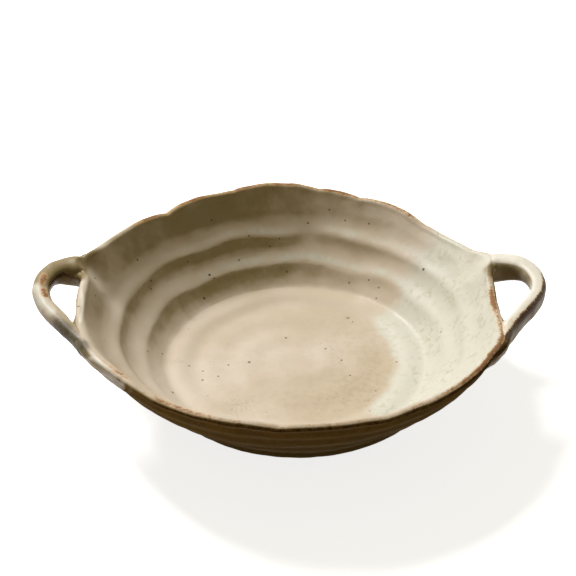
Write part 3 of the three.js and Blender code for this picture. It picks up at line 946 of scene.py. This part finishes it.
def loop_handle(name, marks_on):
    """The strap: a superellipse carried along its centreline, lumpy, lifted into a cove
    beside the bowl and kept under its lip. Its marks come from the function marks_on."""
    strap, seed = straps[name], LOOPS[name]["seed"]
    around = np.linspace(0, 2 * np.pi, STRAP_SIDES, endpoint=False)[None, :, None]

    def rounded(wave):
        """A sine or cosine to the power that makes the section a superellipse."""
        return np.sign(wave) * np.abs(wave) ** (2 / strap["rounding"])

    across = rounded(np.cos(around)) * strap["half_width"][:, None, None]
    upward = rounded(np.sin(around)) * strap["half_height"][:, None, None]
    points = (strap["path"][:, None] + across * strap["side"][:, None]
              + upward * strap["up"][:, None])
    facing = normals(points)
    skin = sum(size * lumps(points, wavelength, seed + more)
               for size, wavelength, more in STRAP_SKIN)
    points = points + facing * skin[..., None]
    distance = body_distance(points.reshape(-1, 3))
    joint = np.repeat(strap["joint"], STRAP_SIDES) * not_upward(facing).ravel()
    lift = join_lift(distance, joint).reshape(points.shape[:2])
    points = points + facing * lift[..., None]
    sunk = np.interp(np.arange(STRAP_STEPS), [0, STRAP_STEPS - 1], LOOPS[name]["sunk"])
    points[..., 2] = kept_under_lip(points, sunk[:, None])
    fields = {key: np.zeros(points.shape[:2]) for key in marks}
    outward, upward, along_y = (np.broadcast_to(part, points.shape[:2]) for part in (
        np.cos(around[..., 0]), np.sin(around[..., 0]), strap["path"][:, None, 1]))
    fields.update(marks_on(seen_at(points), outward, upward, along_y))
    for key in fields:
        fields[key] = np.clip(fields[key], 0, 1)
    handle = closed_mesh("luted_" + name, points, points[0].mean(0), points[-1].mean(0),
                         fields)
    for coat in glazes:
        handle.data.materials.append(coat)
    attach(handle, "root")
    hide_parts(name)
    return handle


# Marks of the left loop, in pixels of the photograph
LEFT_RUST = [
    [44, 277, 4.2, 1.2], [41.5, 283, 2.4, 0.8], [43.5, 291, 3.8, 1.15], [46.5, 296, 2.8, 1],
    [41, 280, 2, 0.5],
]
LEFT_BURNT = [[45, 279, 2.4, 0.75], [45, 293, 2.2, 0.55]]
# Painted light: the front arm's outer side, paler where it turns towards the lamp
LEFT_LIT_SIDE = [[36, 288, 5, 0.8], [41, 301, 7, 1], [50, 311, 6, 0.8]]
LEFT_CRESCENT = [(53, 283), (58, 277), (63, 273.5), (68, 276), (76, 284)]


def left_marks(spot, outward, upward, along_y):
    """Khaki all over; paler and greyer where it turns outwards, as painted light where the lamp
    falls on it; a painted highlight on the lip; olive as painted shade on the side towards the
    hole; the outside's dark brown, partly painted shade, on its underside; a dark streak along
    the front arm, and burnt where glaze ran thin.
    """
    shaded_hole_side = smooth(-outward * 1.6) * smooth((along_y + 2) / 14)
    return {
        "khaki": 0.45 + 0.4 * smooth((along_y + 20) / 35) - 0.75 * blots(LEFT_LIT_SIDE, spot)
                 + 0.25 * smooth((along_y - 8) / 14),
        "pale": 0.8 * blots(LEFT_LIT_SIDE, spot),
        "white": blots(LIP_HIGHLIGHT, spot),
        "rust": blots(LEFT_RUST, spot),
        "olive": 0.9 * shaded_hole_side,
        "dark_streak": 1.05 * stroke(LEFT_DARK_STREAK, spot, 13) * smooth((outward + 0.5) * 1.1),
        "burnt": 1.15 * stroke(LEFT_CRESCENT, spot, 2.2) + blots(LEFT_BURNT, spot),
        "outside": 0.8 * smooth((-upward - 0.55) * 3),
    }


RIGHT_ARM_TINT = [[501, 328, 6, 0.5], [509, 321, 6, 0.35], [520, 311, 5, 0.2]]
BURNT_EDGE = 0.65        # where the outer edge is burnt and rusty, as shares of the way up
RUSTY_EDGE = 0.85
EDGE_SPREAD = 0.5


def right_marks(spot, outward, upward, along_y):
    """Pale and a painted highlight on top, as painted light where the lamp falls; khaki and the
    outside's brown where it faces down or out at the front, olive on the side towards the hole
    and khaki in the corner under its back root, as painted shade; a burnt and rusty outer edge.
    """
    front = smooth((14 - along_y) / 18)
    facing_out = smooth((outward - 0.1) * 1.8) * smooth((0.85 - upward) * 4)
    shaded_hole_side = smooth(-outward * 1.6 - upward * 0.4) * smooth((along_y - 2) / 10)
    arm = smooth((24 - along_y) / 14)
    burnt = bell((upward - BURNT_EDGE) / EDGE_SPREAD) * smooth(outward * 2) * arm
    rusty = bell((upward - RUSTY_EDGE) / EDGE_SPREAD) * smooth(outward * 2.5) * arm
    corner = np.clip(blots(RIGHT_CORNER_SHADE, spot), 0, 1)
    return {
        "pale": smooth(upward * 1.5 + 0.3) * (1 - 0.9 * shaded_hole_side) * (1 - front * facing_out)
                * (1 - 0.8 * corner),
        "white": 0.95 * smooth(upward * 3 - 1.3) * (1 - 0.5 * front * facing_out) * (1 - corner),
        "khaki": 0.1 + 0.9 * front * facing_out + corner,
        "olive": 0.7 * shaded_hole_side,
        "outside": 0.4 * front * facing_out * smooth((4 - along_y) / 20),
        "burnt": 1.15 * burnt,
        "rust": 0.8 * rusty + blots(RIGHT_ARM_TINT, spot),
    }


loop_handle("left_handle", left_marks)
loop_handle("right_handle", right_marks)

# Foot ring: a coil of the same clay luted under the base and trimmed while the bowl turned.
# It was wiped clean before the firing, so that it is bare brown clay all over.
FOOT_WIDTH = 9
FOOT_SIDES = 44
FOOT_COLUMNS = 360
FOOT_WANDER = 0.25       # how far the ring strays in and out, above the flat that it stands on
FOOT_FLAT = 0.4
FOOT_OVERLAP = 0.6
FOOT_SQUARENESS = [0.35, 0.45]       # powers of the section's cosine and sine, 1 is an ellipse
BARE_CLAY = (0.36, 0.20, 0.10)
BARE_CLAY_DARK = (0.22, 0.115, 0.055)
PIT_DEPTH = 0.12


def foot_section(turn):
    """A rounded box section: a superellipse, flat at the table, sunk into the base above."""
    rounded = np.sign(np.cos(turn)) * np.abs(np.cos(turn)) ** FOOT_SQUARENESS[0]
    raised = np.sign(np.sin(turn)) * np.abs(np.sin(turn)) ** FOOT_SQUARENESS[1]
    half = (FOOT_HEIGHT + FOOT_OVERLAP) / 2
    return FOOT_RADIUS - FOOT_WIDTH / 2 * (1 - rounded), half + half * raised


def ring_mesh(name):
    """The foot's section turned about the foot's own middle, closed both ways round."""
    turn = np.linspace(0, 2 * np.pi, FOOT_SIDES, endpoint=False)[:, None]
    way = np.linspace(0, 2 * np.pi, FOOT_COLUMNS, endpoint=False)[None]
    r, z = foot_section(turn)
    r = r + FOOT_WANDER * ripple(np.degrees(way), 2, 9, 51) * (z > FOOT_FLAT)
    points = np.stack([FOOT_X + r * np.cos(way), r * np.sin(way), z + 0 * way], -1)
    at = np.arange(points[..., 0].size).reshape(points.shape[:2])
    beside, over = np.roll(at, -1, 1), np.roll(at, -1, 0)
    corner = np.roll(over, -1, 1)
    quads = np.stack([at, beside, corner, over], -1).reshape(-1, 4)
    mesh = bpy.data.meshes.new(name)
    mesh.from_pydata((points.reshape(-1, 3) * MM).tolist(), [], quads.tolist())
    mesh.shade_smooth()
    return in_scene(name, mesh)


def bare_clay():
    """Fired stoneware with no glaze: two browns in a fine grain, dry and slightly pitted."""
    made = Recipe("bare_stoneware")
    grain = made.noise(0.9, 4, 0.6)
    colour = made.mix(made.ramp(made.noise(20, 3), 0.35, 0.65), BARE_CLAY, BARE_CLAY_DARK)
    colour = made.mix(made.ramp(grain, 0.45, 0.75, 0, 0.5), colour, BARE_CLAY_DARK)
    made.feed("Base Color", colour)
    made.feed("Normal", made.bump(grain, PIT_DEPTH))
    made.shader.inputs["Roughness"].default_value = 0.85
    return made.material


foot = ring_mesh("turned_foot_ring")
foot.data.materials.append(bare_clay())
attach(foot, "root")
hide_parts("foot_ring")

# Floor: a pale sheet that looks white to the camera and in the glaze, and throws back only
# a little warm light, as a wooden table would.
FLOOR_SIZE = 6.0
FLOOR_WHITE = (0.92, 0.92, 0.92)
FLOOR_BOUNCE = (0.22, 0.13, 0.06)
FLOOR_GLOW = 0.82


def seen_directly(tree):
    """1 for rays from the camera and for reflected and refracted ones, else 0."""
    rays = shader_node(tree, "ShaderNodeLightPath", {})
    seen = rays.outputs["Is Camera Ray"]
    for other in ("Is Glossy Ray", "Is Transmission Ray"):
        seen = shader_node(tree, "ShaderNodeMath", {0: seen, 1: rays.outputs[other]},
                           operation="MAXIMUM").outputs[0]
    return seen


half = FLOOR_SIZE / 2
floor_mesh = bpy.data.meshes.new("floor")
floor_mesh.from_pydata([(-half, -half, 0), (half, -half, 0), (half, half, 0), (-half, half, 0)],
                       [], [(0, 1, 2, 3)])
floor = in_scene("floor", floor_mesh)
paper = Recipe("pale_floor")
seen = seen_directly(paper.tree)
paper.feed("Base Color", paper.mix(seen, FLOOR_BOUNCE, FLOOR_WHITE))
paper.shader.inputs["Roughness"].default_value = 1.0
paper.shader.inputs["Specular IOR Level"].default_value = 0.0
paper.shader.inputs["Emission Color"].default_value = (1, 1, 1, 1)
paper.feed("Emission Strength", paper.sum("MULTIPLY", seen, FLOOR_GLOW))
floor_mesh.materials.append(paper.material)

# Light: one large soft lamp, high on the left behind the bowl, as a window would be, and a
# dim even room, which the camera and the glaze see as white.
KEY_ANGLE = 130
KEY_ELEVATION = 50
KEY_DISTANCE = 2.4
KEY_SIZE = 0.78
KEY_POWER = 71
ROOM_LIGHT = (0.105, 0.086, 0.028)


def from_origin(angle, elevation, distance):
    """The point at an angle, elevation and distance from the origin."""
    a, e = np.radians(angle), np.radians(elevation)
    return distance * np.array([np.cos(e) * np.cos(a), np.cos(e) * np.sin(a), np.sin(e)])


lamp_data = bpy.data.lights.new("window", "AREA")
lamp_data.shape = "SQUARE"
lamp_data.size = KEY_SIZE
lamp_data.energy = KEY_POWER
lamp = in_scene("window", lamp_data)
lamp.location = from_origin(KEY_ANGLE, KEY_ELEVATION, KEY_DISTANCE)
lamp.rotation_euler = (np.radians(90 - KEY_ELEVATION), 0, np.radians(KEY_ANGLE + 90))

world = bpy.data.worlds.new("room")
bpy.context.scene.world = world
world.use_nodes = True
background = world.node_tree.nodes["Background"]
seen = seen_directly(world.node_tree)
sky = shader_node(world.node_tree, "ShaderNodeMix", {"Factor": seen}, data_type="RGBA")
sky.inputs[6].default_value = (*ROOM_LIGHT, 1)
sky.inputs[7].default_value = (1, 1, 1, 1)
world.node_tree.links.new(sky.outputs[2], background.inputs["Color"])
background.inputs["Strength"].default_value = 1.0

# Camera: where the photograph was taken from, looking down on the floor of the bowl. Its
# place and lens stand with the bowl body's values, because the marks are placed by them.
camera_data = bpy.data.cameras.new("camera")
camera_data.lens = CAMERA_LENS
camera = in_scene("camera", camera_data)
camera.location = [v * MM for v in CAMERA_PLACE]
camera.rotation_euler = (np.radians(90 - CAMERA_PITCH), 0, 0)
bpy.context.scene.camera = camera
bpy.context.scene.view_settings.view_transform = "Standard"
